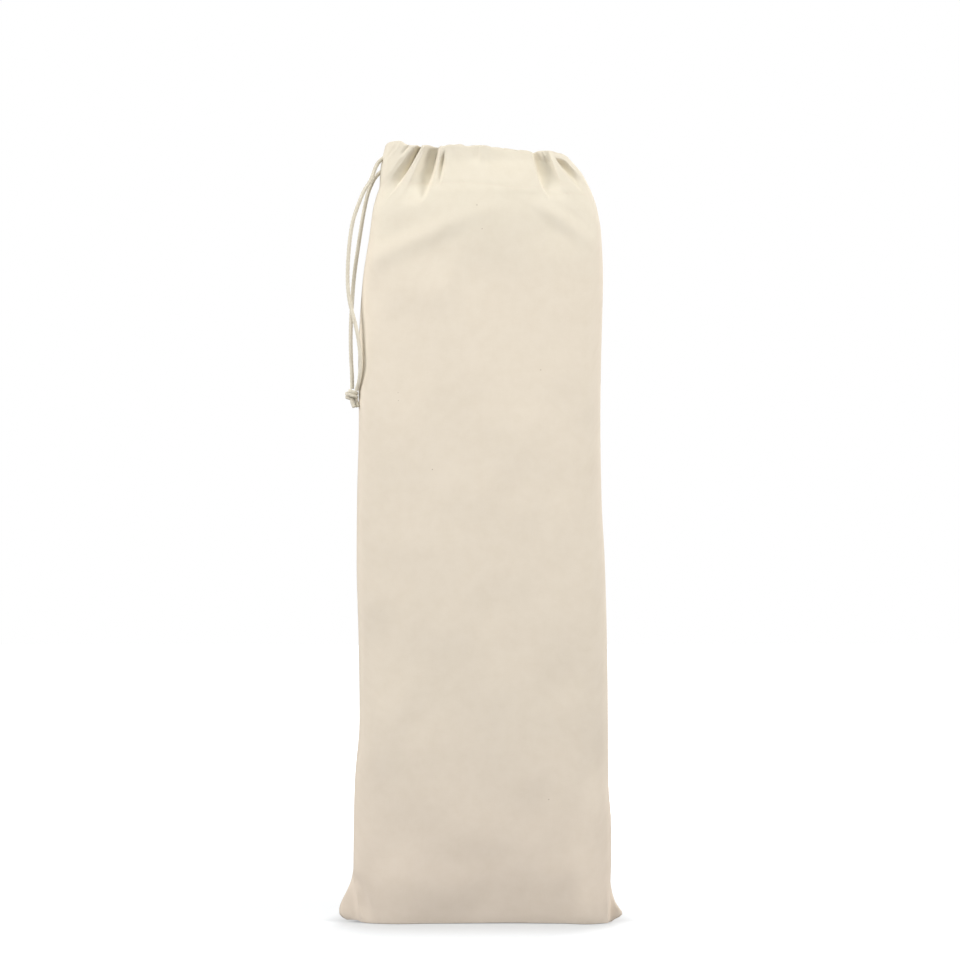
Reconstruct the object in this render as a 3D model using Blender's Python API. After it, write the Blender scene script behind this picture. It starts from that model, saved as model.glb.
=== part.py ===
"""Cotton bread bag: a flat, drawstring bag of thin cotton that stands filled out and open, its cord knotted at the side.

Run it with blender --background --python part.py, or from Blender's text editor.
Frame: metres, +Z up, the front faces -Y, and the origin is on the floor under the middle of the bag.
Sizes below are in millimetres and are scaled once, where each mesh or curve is made.
"""

import math

import bmesh
import bpy
import numpy as np
from mathutils import Vector

MM = 0.001

# The cloth and its sewing.
WALL = 1.3  # one layer of cloth, as a solid sheet
HEM_EXTRA = 1.1  # what the turned hem adds to the outside of the wall
HEM_DEPTH = 34.0  # from the rim down to the line of stitches that closes the casing
HEM_STEP = 5.0  # height over which the hem's extra thickness fades out
SEAM_HALF = 1.5  # half the thickness of the flat ears and of the side edges
EAR_CORNER = 0.5  # how far the ears' outer edges are rounded in
EDGE_ROLL = 9.0  # radius with which the wall turns under onto the floor
INNER_ROLL = 5.0  # the same on the inside
ROLL_MOST = 0.8  # the most of the depth that the roll takes, where the bag is thin

# The gathered mouth. Above GATHER_FOOT the rows of the mesh lean over to follow the rim.
GATHER_FOOT = 560.0
RIM = (
    # x, height of the folded rim
    (-90.0, 690.0),
    (-80.0, 695.5),
    (-72.0, 695.0),
    (-62.0, 691.0),
    (-30.0, 691.5),
    (-10.0, 690.5),
    (10.0, 690.0),
    (35.0, 686.5),
    (58.0, 686.0),
    (72.0, 682.0),
)

# One row for each height: how far the cloth reaches to the left and the right, where its filled-out part ends
# above the flat corner ears, how deep it is at the front and the back, and how square its section is.
OUTLINE = (
    # height, left, right, fill_left, fill_right, front, back, squareness
    (0.0, -119.5, 121.5, -108.5, 114.0, 25.0, 24.0, 5.0),
    (4.0, -125.2, 125.2, -109.0, 114.2, 24.8, 24.0, 5.0),
    (8.0, -126.3, 126.3, -109.6, 114.4, 24.8, 24.2, 4.8),
    (12.0, -126.0, 124.0, -110.4, 114.6, 24.8, 24.3, 4.6),
    (18.0, -123.8, 120.2, -111.5, 114.8, 24.9, 24.4, 4.4),
    (27.0, -119.8, 116.8, -113.2, 115.2, 25.0, 24.5, 4.1),
    (38.0, -116.2, 115.6, -115.0, 115.6, 25.2, 24.7, 3.8),
    (50.0, -115.2, 116.2, -115.2, 116.2, 25.5, 25.0, 3.5),
    (85.0, -114.6, 116.4, -114.6, 116.4, 26.5, 25.8, 3.2),
    (125.0, -112.8, 113.9, -112.8, 113.9, 28.0, 27.3, 3.0),
    (180.0, -108.6, 113.6, -108.6, 113.6, 29.5, 28.5, 3.0),
    (250.0, -109.4, 112.6, -109.4, 112.6, 29.5, 29.0, 3.0),
    (322.0, -111.2, 110.6, -111.2, 110.6, 29.0, 29.0, 3.0),
    (376.0, -110.8, 107.8, -110.8, 107.8, 29.5, 29.5, 3.0),
    (447.0, -109.2, 106.7, -109.2, 106.7, 30.0, 30.0, 3.0),
    (501.0, -109.8, 107.4, -109.8, 107.4, 30.0, 30.0, 2.9),
    (537.0, -108.3, 108.3, -108.3, 108.3, 31.0, 30.5, 2.8),
    (573.0, -105.6, 109.1, -105.6, 109.1, 32.5, 31.5, 2.7),
    (614.0, -99.5, 107.4, -99.5, 107.4, 34.5, 33.5, 2.5),
    (635.0, -96.7, 104.0, -96.7, 104.0, 35.5, 34.5, 2.4),
    (648.0, -93.4, 100.0, -93.4, 100.0, 35.5, 34.5, 2.3),
    (656.0, -90.8, 96.5, -90.8, 96.5, 34.5, 33.5, 2.3),
    (668.0, -90.2, 90.0, -90.2, 90.0, 32.5, 31.5, 2.3),
    (678.0, -89.0, 81.5, -89.0, 81.5, 30.5, 30.0, 2.3),
    (685.0, -87.5, 75.0, -87.5, 75.0, 29.5, 29.0, 2.3),
    (696.0, -84.5, 70.0, -84.5, 70.0, 28.5, 28.0, 2.3),
)

# Folds drawn in by the cord: each is a soft trough along a line, with a ridge along one of its sides.
# ridge_side is -1 for a ridge to the left of the trough and 1 for one to its right.
FRONT_FOLDS = (
    # top_x, foot_x, foot_height, half_width, depth, ridge_side, ridge
    (-56.0, -76.0, 652.0, 7.0, 9.0, 1, 3.0),
    (-45.0, -60.0, 648.0, 7.5, 7.0, 1, 2.0),
    (-33.5, -41.0, 660.0, 5.5, 5.0, 1, 2.0),
    (-9.0, -10.0, 668.0, 9.0, 1.2, 1, 0.0),
    (54.0, 63.0, 650.0, 8.0, 7.0, 1, 2.5),
    (67.0, 86.0, 655.0, 6.5, 8.0, -1, 3.0),
)
BACK_FOLDS = (
    # top_x, foot_x, foot_height, half_width, depth, ridge_side, ridge
    (-66.0, -80.0, 640.0, 7.5, 7.0, 1, 2.5),
    (-44.0, -52.0, 652.0, 7.0, 6.5, -1, 2.5),
    (-22.0, -26.0, 646.0, 6.5, 5.5, 1, 2.0),
    (3.0, 4.0, 656.0, 7.0, 5.0, 1, 2.0),
    (27.0, 34.0, 643.0, 7.0, 6.0, -1, 2.0),
    (49.0, 62.0, 650.0, 7.5, 7.5, 1, 2.5),
)

FOLD_SPREAD = 0.25  # how much wider a fold is at its foot than at the rim
FOLD_FADE = (-0.15, 0.45)  # shares of the way up between which a fold deepens
RIDGE_AWAY = 1.25  # from the trough's middle to the ridge's, in half widths of the trough
RIDGE_WIDTH = 0.8
RELIEF_FROM = 0.55  # folds and swells fade out towards the side edges below this share of the depth
HEM_FROM = 0.35  # and so does the hem's extra thickness below this one

# Broad, shallow swells (+, outwards) and hollows (-, inwards) of the standing cloth.
FRONT_SWELLS = (
    # x, height, half_width, half_height, lean, amount
    (-92.0, 232.0, 16.0, 42.0, 0.0, -2.2),
    (-86.0, 163.0, 22.0, 38.0, 0.0, 1.8),
    (-101.0, 27.0, 9.0, 26.0, 0.6, -2.4),
    (98.0, 466.0, 9.0, 45.0, 0.0, 0.9),
    (103.0, 146.0, 11.0, 30.0, 0.0, -1.6),
    (77.0, 631.0, 13.0, 9.0, -0.4, 1.6),
    (-62.0, 626.0, 17.0, 9.0, 0.6, 1.8),
    (-55.0, 600.0, 24.0, 14.0, 0.5, -1.8),
    (20.0, 330.0, 60.0, 120.0, 0.0, 1.0),
    (-30.0, 480.0, 40.0, 70.0, 0.2, 0.9),
)
BACK_SWELLS = (
    # x, height, half_width, half_height, lean, amount
    (88.0, 250.0, 18.0, 48.0, 0.0, -2.2),
    (70.0, 160.0, 26.0, 40.0, 0.0, 1.8),
    (-84.0, 410.0, 16.0, 60.0, 0.1, -1.6),
    (-60.0, 608.0, 22.0, 14.0, 0.5, -1.8),
    (58.0, 606.0, 22.0, 14.0, -0.5, -1.8),
    (0.0, 400.0, 55.0, 130.0, 0.0, 1.2),
)

SWELL_FADE = 1.6  # the reach of a swell, in its own half sizes

# The mesh of the cloth: columns across each side of the bag, and the heights of its rows.
EAR_COLUMNS = 4
FILL_COLUMNS = 38
EAR_MIN_LENGTH = 5.0
CROWDING = (
    # share of the columns, share of the way round from left to right: the columns crowd where the folds are
    (0.0, 0.0),
    (0.42, 0.34),
    (0.60, 0.68),
    (1.0, 1.0),
)
UNDER_ROWS = (0.0, 0.5)  # shares of the way from the bottom seam to the floor's edge
ROLL_ANGLES = (0.0, 32.0, 62.0, 90.0)
EAR_ROWS = (1 / 3, 2 / 3)  # shares of the way from the top of the roll to the first row of the wall
WALL_ROWS = (
    12.0, 18.0, 27.0, 38.0, 55.0, 85.0, 130.0, 185.0, 250.0, 320.0, 390.0, 460.0, 520.0,
    560.0, 590.0, 612.0, 630.0, 643.0, 652.0, 658.0, 666.0, 675.0, 684.0, 691.0,
)  # fmt: skip
SECTION_POINTS = 721  # points worked out on each level section before its columns are placed on it
TOP_LEVEL = 700  # sections are worked out at every millimetre of height up to here
FULL_HEIGHT = 692.0  # the height that WALL_ROWS are counted towards, before the rim's own rise and fall

# The drawstring: one cord whose two ends leave the hem at the side seam and are knotted together.
CORD = 3.5
CORD_POINT_STEP = 9.0
CURVE_POINTS = 600  # points worked out on a route's smooth curve before the cord's own are placed on it
UPPER_ROUTE = (
    # x, y, height
    (-90.7, -5.6, 678.2),
    (-93.8, -8.0, 673.0),
    (-98.5, -9.5, 660.7),
    (-104.5, -10.5, 650.7),
    (-110.0, -11.0, 637.2),
    (-114.2, -11.5, 623.7),
    (-117.0, -11.5, 606.0),
    (-118.6, -12.0, 584.2),
    (-118.6, -12.5, 567.0),
    (-116.6, -14.0, 551.0),
    (-112.2, -16.5, 534.0),
    (-109.0, -18.0, 519.0),
    (-107.4, -18.5, 505.0),
    (-107.2, -18.0, 493.0),
    (-108.4, -16.0, 482.5),
    (-110.9, -12.5, 473.7),
)
LOWER_ROUTE = (
    # x, y, height
    (-92.0, 1.1, 667.6),
    (-95.6, 0.5, 663.0),
    (-98.6, 0.0, 656.8),
    (-101.4, -1.0, 649.0),
    (-104.6, -2.0, 634.4),
    (-107.4, -3.0, 617.4),
    (-110.0, -4.0, 600.0),
    (-112.2, -5.5, 584.3),
    (-113.8, -7.0, 569.5),
    (-114.8, -8.5, 554.8),
    (-115.8, -9.0, 538.0),
    (-116.2, -9.5, 520.0),
    (-115.8, -10.0, 503.0),
    (-115.0, -10.5, 488.0),
    (-114.8, -10.5, 475.0),
)
# The knot: an overhand knot of both ends. The cord is wound round itself, and the two cut ends hang below.
KNOT_TOP = (-115.3, -10.5, 473.0)
KNOT_REACH = (4.2, 3.9)  # from the knot's middle to the middle of the wound cord, across and front to back
KNOT_TURNS = 2.1
KNOT_PITCH = 3.2
KNOT_LEAN = 0.16  # how much the turns drop from left to right
KNOT_START = 200.0  # degrees round the knot at which the winding starts, from +X
KNOT_END_FADE = (-0.03, 0.1)  # shares of the winding over which each end leaves the knot's middle
KNOT_POINTS = 56
TUBE_SIDES = 12
KNOT_STEP = 0.8  # size of the net that joins the knot's cords into one solid
TAIL_ROUTES = (
    ((-115.6, -10.5, 473.0), (-115.6, -10.5, 467.5), (-114.8, -11.0, 463.0), (-113.6, -11.6, 458.4)),
    ((-113.4, -10.2, 473.0), (-113.0, -10.2, 467.0), (-111.8, -10.6, 462.5), (-110.4, -11.0, 458.8)),
)

# The corner ears bend a little out of the bag's middle plane, by this much at their tips.
EAR_BEND_FROM = 108.0
EAR_BEND = (-2.5, 4.5)  # left, right


def smooth_between(table, at):
    """Values of a table's other columns at the positions `at` of its first column, along a smooth curve."""
    table = np.asarray(table, float)
    at = np.clip(np.asarray(at, float), table[0, 0], table[-1, 0])
    places, values = table[:, 0], table[:, 1:]
    gaps = np.diff(places)[:, None]
    slopes = np.diff(values, axis=0) / gaps
    bends = np.zeros_like(values)
    same_way = slopes[1:] * slopes[:-1] > 0
    mean = 2 * slopes[1:] * slopes[:-1] / np.where(same_way, slopes[1:] + slopes[:-1], 1)
    bends[1:-1] = np.where(same_way, mean, 0)
    bends[0], bends[-1] = slopes[0], slopes[-1]
    span = np.clip(np.searchsorted(places, at, side="right") - 1, 0, len(places) - 2)
    step = (places[span + 1] - places[span])[..., None]
    part = (at - places[span])[..., None] / step
    rest = 1 - part
    return (
        values[span] * (1 + 2 * part) * rest**2
        + values[span + 1] * (3 - 2 * part) * part**2
        + bends[span] * step * part * rest**2
        - bends[span + 1] * step * rest * part**2
    )


def fade(value, start, end):
    """0 before start, 1 past end, and a smooth rise between them."""
    part = np.clip((value - start) / (end - start), 0, 1)
    return part * part * (3 - 2 * part)


def hump(distance):
    """1 at 0, falling smoothly to 0 at a distance of 1."""
    return np.cos(np.clip(np.abs(distance), 0, 1) * math.pi / 2) ** 2


def rim_height(x):
    return smooth_between(RIM, np.clip(x, RIM[0][0], RIM[-1][0]))[..., 0]


def relief(x, height, folds, swells):
    """How far the cloth stands out of its plain section at x and height: folds, ridges and swells."""
    out = np.zeros_like(x)
    for top_x, foot_x, foot, half_width, depth, ridge_side, ridge in folds:
        run = (height - foot) / (FULL_HEIGHT - foot)
        middle = foot_x + (top_x - foot_x) * run
        width = half_width * (1 + FOLD_SPREAD * (1 - np.clip(run, 0, 1)))
        strength = fade(run, *FOLD_FADE)
        out -= depth * strength * hump((x - middle) / width)
        out += ridge * strength * hump((x - middle - ridge_side * RIDGE_AWAY * width) / (RIDGE_WIDTH * width))
    for swell_x, swell_height, half_width, half_height, lean, amount in swells:
        middle = swell_x + lean * (height - swell_height)
        up = (height - swell_height) / (SWELL_FADE * half_height)
        out += amount * hump((x - middle) / (SWELL_FADE * half_width)) * hump(up)
    return out


def section(height, side, inset):
    """Half of the level section at a height, from the left edge to the right one, as points (x, depth).

    side is -1 for the front and 1 for the back. An inset above 0 gives the inner face, which leaves out the ears.
    """
    left, right, fill_left, fill_right, front, back, squareness = smooth_between(OUTLINE, [height])[0]
    depth = front if side < 0 else back
    turn = np.linspace(-math.pi / 2, math.pi / 2, SECTION_POINTS)
    power = 2 / squareness
    across = np.sign(turn) * np.abs(np.sin(turn)) ** power
    bulge = np.abs(np.cos(turn)) ** power
    x = (fill_left + fill_right) / 2 + (fill_right - fill_left) / 2 * across
    folds, swells = (FRONT_FOLDS, FRONT_SWELLS) if side < 0 else (BACK_FOLDS, BACK_SWELLS)
    out = relief(x, height, folds, swells) * fade(bulge, 0, RELIEF_FROM)
    if not inset:
        hem_foot = rim_height(x) - HEM_DEPTH
        out += HEM_EXTRA * fade(height, hem_foot - HEM_STEP, hem_foot) * fade(bulge, 0, HEM_FROM)
    points = np.column_stack((x, SEAM_HALF + (depth - SEAM_HALF) * bulge + out))
    if inset:
        along = np.gradient(points, axis=0)
        along /= np.linalg.norm(along, axis=1)[:, None]
        points += inset * np.column_stack((along[:, 1], -along[:, 0]))
        low, high = fill_left + inset, fill_right - inset
        points = points[(points[:, 0] > low) & (points[:, 0] < high) & (points[:, 1] > 0)]
        return np.vstack(((low, 0.0), points, (high, 0.0)))
    left_edge = ((left, 0.0), (min(left + EAR_CORNER, fill_left), SEAM_HALF))
    right_edge = ((max(right - EAR_CORNER, fill_right), SEAM_HALF), (right, 0.0))
    return np.vstack((left_edge, points[1:-1], right_edge))


def columns_of(height, side, inset):
    """The section's points at the mesh's columns: some along each ear, the rest crowding where the folds are."""
    points = section(height, side, inset)
    lengths = np.concatenate(((0,), np.cumsum(np.linalg.norm(np.diff(points, axis=0), axis=1))))
    left, right, fill_left, fill_right = smooth_between(OUTLINE, [height])[0][:4]
    ears = (EAR_MIN_LENGTH, EAR_MIN_LENGTH)
    if not inset:
        ears = (max(EAR_MIN_LENGTH, fill_left - left), max(EAR_MIN_LENGTH, right - fill_right))
    start, end = ears[0], lengths[-1] - ears[1]
    ear_share = np.linspace(0, 1, EAR_COLUMNS + 1)
    crowded = smooth_between(CROWDING, np.linspace(0, 1, FILL_COLUMNS + 1))[:, 0]
    at = np.concatenate(
        (ear_share[:-1] * start, start + (end - start) * crowded[:-1], end + (lengths[-1] - end) * ear_share)
    )
    return np.column_stack([np.interp(at, lengths, points[:, i]) for i in (0, 1)])


def skin_rows(side, inset):
    """Rows of points of one side of the bag, from the bottom seam up to the rim."""
    columns = np.array([columns_of(height, side, inset) for height in range(TOP_LEVEL + 1)])

    def row_at(height, pulled_in=0.0):
        """The row whose points have these heights, drawn in from the wall by pulled_in."""
        low = np.clip(height.astype(int), 0, TOP_LEVEL - 1)
        part = (height - low)[:, None]
        column = np.arange(len(height))
        x, depth = (columns[low, column] * (1 - part) + columns[low + 1, column] * part).T
        return np.column_stack((x, side * (depth - pulled_in), height))

    floor = np.full(columns.shape[1], float(inset))
    depth = np.abs(row_at(floor)[:, 1])
    roll = np.minimum(INNER_ROLL if inset else EDGE_ROLL, ROLL_MOST * depth)
    rows = [row_at(floor, (1 - share) * (depth - roll) + roll) for share in UNDER_ROWS]
    for angle in ROLL_ANGLES:
        turned = math.radians(angle)
        rows.append(row_at(floor + roll * (1 - math.cos(turned)), roll * (1 - math.sin(turned))))
    rolled_up = floor + roll
    for share in EAR_ROWS:
        rows.append(row_at(rolled_up + (WALL_ROWS[0] - rolled_up) * share))
    for level in WALL_ROWS:
        lean = max(0.0, level - GATHER_FOOT) / (FULL_HEIGHT - GATHER_FOOT)
        rise = rim_height(row_at(np.full_like(floor, level))[:, 0]) - FULL_HEIGHT
        rows.append(row_at(level + rise * lean))
    return rows


def make_material(name, colour, roughness):
    material = bpy.data.materials.new(name)
    material.use_nodes = True
    shader = material.node_tree.nodes["Principled BSDF"]
    shader.inputs["Base Color"].default_value = (*colour, 1.0)
    shader.inputs["Roughness"].default_value = roughness
    shader.inputs["Metallic"].default_value = 0.0
    material.diffuse_color = (*colour, 1.0)
    return material


def add_object(name, mesh, material):
    thing = bpy.data.objects.new(name, mesh)
    mesh.materials.append(material)
    bpy.context.scene.collection.objects.link(thing)
    return thing


def ear_bend(x):
    bend = EAR_BEND[0] if x < 0 else EAR_BEND[1]
    longest = max(abs(value) for row in OUTLINE for value in row[1:3])
    return bend * max(0.0, (abs(x) - EAR_BEND_FROM) / (longest - EAR_BEND_FROM)) ** 2


def add_skin(shape, inset):
    """One closed-bottomed skin of the bag. Returns the loop of vertices at its rim, front then back."""
    front, back = skin_rows(-1, inset), skin_rows(1, inset)
    last = len(front[0]) - 1
    made = {}

    def vertex(side, row, column):
        if row == 0 or column in (0, last):
            side = 0  # both sides share the bottom seam and the two side edges
        key = (side, row, column)
        if key not in made:
            x, y, z = (back if side > 0 else front)[row][column]
            y = (0.0 if side == 0 else y) + ear_bend(x)
            made[key] = shape.verts.new((x * MM, y * MM, z * MM))
        return made[key]

    for side in (-1, 1):
        for row in range(len(front) - 1):
            for column in range(last):
                corners = [
                    vertex(side, row, column),
                    vertex(side, row, column + 1),
                    vertex(side, row + 1, column + 1),
                    vertex(side, row + 1, column),
                ]
                outward = (side < 0) == (inset == 0)
                shape.faces.new(corners if outward else corners[::-1])
    top = len(front) - 1
    return [vertex(-1, top, i) for i in range(last + 1)] + [vertex(1, top, i) for i in range(last - 1, 0, -1)]


def make_cloth(material):
    """The bag itself: one folded and sewn piece of cloth, with its hem, hollow and open at the top."""
    shape = bmesh.new()
    outer = add_skin(shape, 0.0)
    inner = add_skin(shape, WALL)
    crown = []
    for outside, inside in zip(outer, inner):
        middle = (outside.co + inside.co) / 2
        middle.z += WALL * MM / 2
        crown.append(shape.verts.new(middle))
    count = len(outer)
    for i in range(count):
        j = (i + 1) % count
        shape.faces.new((outer[i], outer[j], crown[j], crown[i]))
        shape.faces.new((crown[i], crown[j], inner[j], inner[i]))
    mesh = bpy.data.meshes.new("bag_cloth")
    shape.to_mesh(mesh)
    shape.free()
    mesh.shade_smooth()
    return add_object("bag_cloth", mesh, material)


def curve_points(route, step):
    """Points every `step` along a smooth curve through the route's own points."""
    route = np.asarray(route, float)
    lengths = np.concatenate(((0,), np.cumsum(np.linalg.norm(np.diff(route, axis=0), axis=1))))
    fine = np.linspace(0, lengths[-1], CURVE_POINTS)
    ends = np.vstack((2 * route[0] - route[1], route, 2 * route[-1] - route[-2]))
    span = np.clip(np.searchsorted(lengths, fine, side="right") - 1, 0, len(route) - 2)
    part = ((fine - lengths[span]) / (lengths[span + 1] - lengths[span]))[:, None]
    a, b, c, d = (ends[span + i] for i in range(4))
    curve = 0.5 * (2 * b + (c - a) * part + (2 * a - 5 * b + 4 * c - d) * part**2 + (3 * b - a - 3 * c + d) * part**3)
    along = np.concatenate(((0,), np.cumsum(np.linalg.norm(np.diff(curve, axis=0), axis=1))))
    at = np.linspace(0, along[-1], max(2, round(along[-1] / step) + 1))
    return np.column_stack([np.interp(at, along, curve[:, i]) for i in range(3)])


def make_cord(name, route, material):
    curve = bpy.data.curves.new(name, "CURVE")
    curve.dimensions = "3D"
    curve.bevel_depth = CORD / 2 * MM
    curve.bevel_resolution = 2
    curve.render_resolution_u = 0
    curve.use_fill_caps = True
    points = curve_points(route, CORD_POINT_STEP)
    spline = curve.splines.new("POLY")
    spline.points.add(len(points) - 1)
    for point, place in zip(spline.points, points):
        point.co = (*(place * MM), 1.0)
    return add_object(name, curve, material)


def add_tube(shape, points):
    """A closed tube of the cord's thickness along the points."""
    points = [Vector(point) for point in points]
    rings = []
    across = (points[1] - points[0]).orthogonal().normalized()
    for i, point in enumerate(points):
        along = (points[min(i + 1, len(points) - 1)] - points[max(i - 1, 0)]).normalized()
        across = (across - along * across.dot(along)).normalized()
        other = along.cross(across)
        ring = []
        for j in range(TUBE_SIDES):
            angle = 2 * math.pi * j / TUBE_SIDES
            place = point + CORD / 2 * (math.cos(angle) * across + math.sin(angle) * other)
            ring.append(shape.verts.new(place * MM))
        rings.append(ring)
    for low, high in zip(rings, rings[1:]):
        for j in range(TUBE_SIDES):
            k = (j + 1) % TUBE_SIDES
            shape.faces.new((low[j], low[k], high[k], high[j]))
    shape.faces.new(rings[0][::-1])
    shape.faces.new(rings[-1])


def knot_winding():
    """The middle line of the cord wound round the knot, its two ends led into the knot's middle."""
    places = []
    for part in np.linspace(0, 1, KNOT_POINTS):
        angle = math.radians(KNOT_START) + 2 * math.pi * KNOT_TURNS * part
        out = fade(min(part, 1 - part), *KNOT_END_FADE)
        across = KNOT_REACH[0] * out * math.cos(angle)
        x, y, z = KNOT_TOP
        drop = KNOT_PITCH * KNOT_TURNS * part + KNOT_LEAN * across
        places.append((x + across, y + KNOT_REACH[1] * out * math.sin(angle), z - drop))
    return places


def make_knot(material):
    shape = bmesh.new()
    add_tube(shape, knot_winding())
    for route in TAIL_ROUTES:
        add_tube(shape, curve_points(route, CORD / 2))
    mesh = bpy.data.meshes.new("cord_knot")
    shape.to_mesh(mesh)
    shape.free()
    knot = add_object("cord_knot", mesh, material)
    joined = knot.modifiers.new("one solid", "REMESH")
    joined.mode = "VOXEL"
    joined.voxel_size = KNOT_STEP * MM
    joined.use_smooth_shade = True
    return knot


def main():
    for thing in list(bpy.data.objects):
        bpy.data.objects.remove(thing, do_unlink=True)
    cotton = make_material("cotton cloth", (0.80, 0.73, 0.61), 0.9)
    cord = make_material("cotton cord", (0.74, 0.70, 0.60), 0.9)
    make_cloth(cotton)
    make_cord("cord_strand_upper", UPPER_ROUTE, cord)
    make_cord("cord_strand_lower", LOWER_ROUTE, cord)
    make_knot(cord)


main()
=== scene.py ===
"""The cotton bread bag: cloth with its gathers and stitches, cords, knot, materials, floor, light and camera.

Sizes are in millimetres unless a comment says otherwise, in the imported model's frame: +Z up, front to -Y.
"""

import math
from typing import NamedTuple

import bmesh
import bpy
import numpy as np
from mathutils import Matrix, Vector


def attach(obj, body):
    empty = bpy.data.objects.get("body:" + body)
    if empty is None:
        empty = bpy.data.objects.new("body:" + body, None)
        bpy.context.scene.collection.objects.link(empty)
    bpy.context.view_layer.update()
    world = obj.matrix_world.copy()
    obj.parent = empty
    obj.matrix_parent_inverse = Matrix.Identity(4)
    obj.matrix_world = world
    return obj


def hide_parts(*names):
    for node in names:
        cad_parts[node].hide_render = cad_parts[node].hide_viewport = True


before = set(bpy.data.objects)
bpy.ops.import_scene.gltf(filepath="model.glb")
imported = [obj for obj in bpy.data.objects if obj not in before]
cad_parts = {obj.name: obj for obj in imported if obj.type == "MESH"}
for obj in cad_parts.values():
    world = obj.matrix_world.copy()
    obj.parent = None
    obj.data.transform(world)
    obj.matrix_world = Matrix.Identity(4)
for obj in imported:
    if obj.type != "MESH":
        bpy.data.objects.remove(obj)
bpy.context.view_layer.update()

MM = 0.001

# ---- Sizes of the cloth ----

WALL = 0.9  # the cloth's thickness
HEM_EXTRA = 0.4  # how far the turned hem makes the outside stand proud
HEM_DEPTH = 34.0  # from the rim down to the line of stitches
HEM_STEP = 14.0  # height over which the hem comes to stand proud
STITCH_GROOVE = 0.14  # how deep the line of stitches pulls the cloth in
STITCH_GROOVE_HALF = 2.2  # half width
HEM_LAYER = 0.7  # thickness of the hem's turned layer inside the bag
HEM_LAYER_STEP = 2.0  # height over which it begins
SEAM_HALF = 1.3  # half of the bag's thickness at its side edges
SEAM_GROOVE = (0.9, 1.6)  # depth and half width of the groove along each side seam
EAR_CORNER = 0.6  # width of the bevel along a side edge
EDGE_ROLL = 0.5  # radius of the outer skin's bottom edge
INNER_ROLL = 4.0  # the same for the inner skin
ROLL_MOST = 0.8  # neither is more than this share of the depth there
HALF_GIRTH = 250.0  # the flat cloth's width on each side of the bag

GATHER_FOOT = 560.0  # above this height the mesh's rows come to follow the rim
RIM = (
    # x, height of the folded rim
    (-90, 689), (-84, 694), (-78, 695.4), (-72, 694.6),
    (-66, 691.6), (-58, 690.6), (-48, 690.8), (-36, 690.2),
    (-20, 690.3), (0, 689.5), (14, 687.9), (28, 686.2),
    (42, 685.8), (53, 686.8), (61, 685.4), (67, 684.4),
    (73, 681.4),
)
RIM_SCALLOPS = (
    # x, half width, how far the rim rises there
    (-34, 6, -0.6), (-20.5, 6.5, 0.6), (-12.4, 5.5, -1.4),
    (3, 6, 0.7), (14, 5.5, -1.5), (19.5, 4.5, 0.8),
    (27.5, 5, -1.2), (35, 5, 0.5), (43.5, 5.5, -1.2),
)
RIM_WAVES = (
    # wavelength, amplitude, phase of the small unevenness along the rim
    (9.5, 0.18, 0.4),
    (14, 0.12, 2.1),
)
RIM_FOLLOWS = 0.06  # the rim drops by this share of a fold's depth

EAR_OUTLINE = (
    # height, left and right edges, ends of the filled part, depth of front and back, squareness
    (0, -119.5, 116.2, -108.5, 113.4, 20.4, 22, 5),
    (2.5, -123.6, 119.2, -108.8, 113.6, 21, 22.4, 5),
    (5, -125.8, 123.8, -109.2, 113.8, 21.6, 22.8, 4.9),
    (8, -126.3, 126, -109.6, 114, 22.2, 23.2, 4.8),
    (9.5, -126.3, 125.6, -110, 114.2, 22.5, 23.4, 4.7),
    (12, -126, 123.6, -110.4, 114.4, 22.9, 23.7, 4.6),
    (18, -123.8, 119.6, -111.5, 114.8, 24, 24.4, 4.4),
    (27, -119.4, 116.8, -113.2, 115.2, 25.3, 25.2, 4.1),
    (38, -115.4, 115.6, -114.4, 115.6, 26.5, 26, 3.8),
)
BODY_OUTLINE = (
    # height, left and right edges, depth of front and back, squareness
    (50, -114, 116.2, 27.4, 26.6, 3.5),
    (85, -113.8, 116.4, 28.7, 27.6, 3.2),
    (125, -112.8, 113.9, 29.4, 28.3, 3),
    (180, -108.6, 113.6, 29.7, 28.8, 3),
    (250, -109.4, 112.6, 29.6, 29, 3),
    (322, -111.2, 110.6, 29.3, 29, 3),
    (376, -110.8, 107.8, 29.5, 29.5, 3),
    (447, -109.2, 106.7, 30, 30, 3),
    (501, -109.8, 107.4, 30, 30, 2.9),
    (537, -108.3, 108.3, 31, 30.5, 2.8),
    (573, -105.6, 109.1, 32.5, 31.5, 2.7),
    (614, -99.5, 107.4, 34.5, 33.5, 2.5),
    (635, -96.7, 104, 35.5, 34.5, 2.4),
    (648, -93.4, 100, 34.9, 34.5, 2.3),
    (656, -90.8, 96.5, 33.2, 33.5, 2.3),
    (668, -90.2, 90, 30.9, 31, 2.3),
    (678, -89, 81.5, 29.4, 29.2, 2.3),
    (685, -87.5, 75, 29.7, 28.5, 2.3),
    (696, -84.5, 70, 31.2, 28.8, 2.3),
)
OUTLINE = EAR_OUTLINE + tuple(row[:3] + row[1:] for row in BODY_OUTLINE)


class Fold(NamedTuple):
    """A gather: a soft slope down to its crease, a steep wall up from it, and a rounded ridge."""

    top_x: float  # where the crease meets the rim
    foot_x: float
    foot_height: float
    bow: float  # 1 for a straight crease, less for one that swings out near its foot
    at_rim: float  # the share of its depth left at the rim; below 0, it ends under the rim
    steep_side: int  # 1 where the steep wall is right of the crease, -1 where it is left of it
    depth: float
    soft: float  # the soft slope's width at the rim
    widen: float  # how much wider the slope is at the foot, as a share
    pinch: float  # above 1, the slope steepens towards the crease
    steep: float  # the steep wall's width at the rim
    ridge: float  # how far the ridge stands out
    ridge_wide: float


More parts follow.
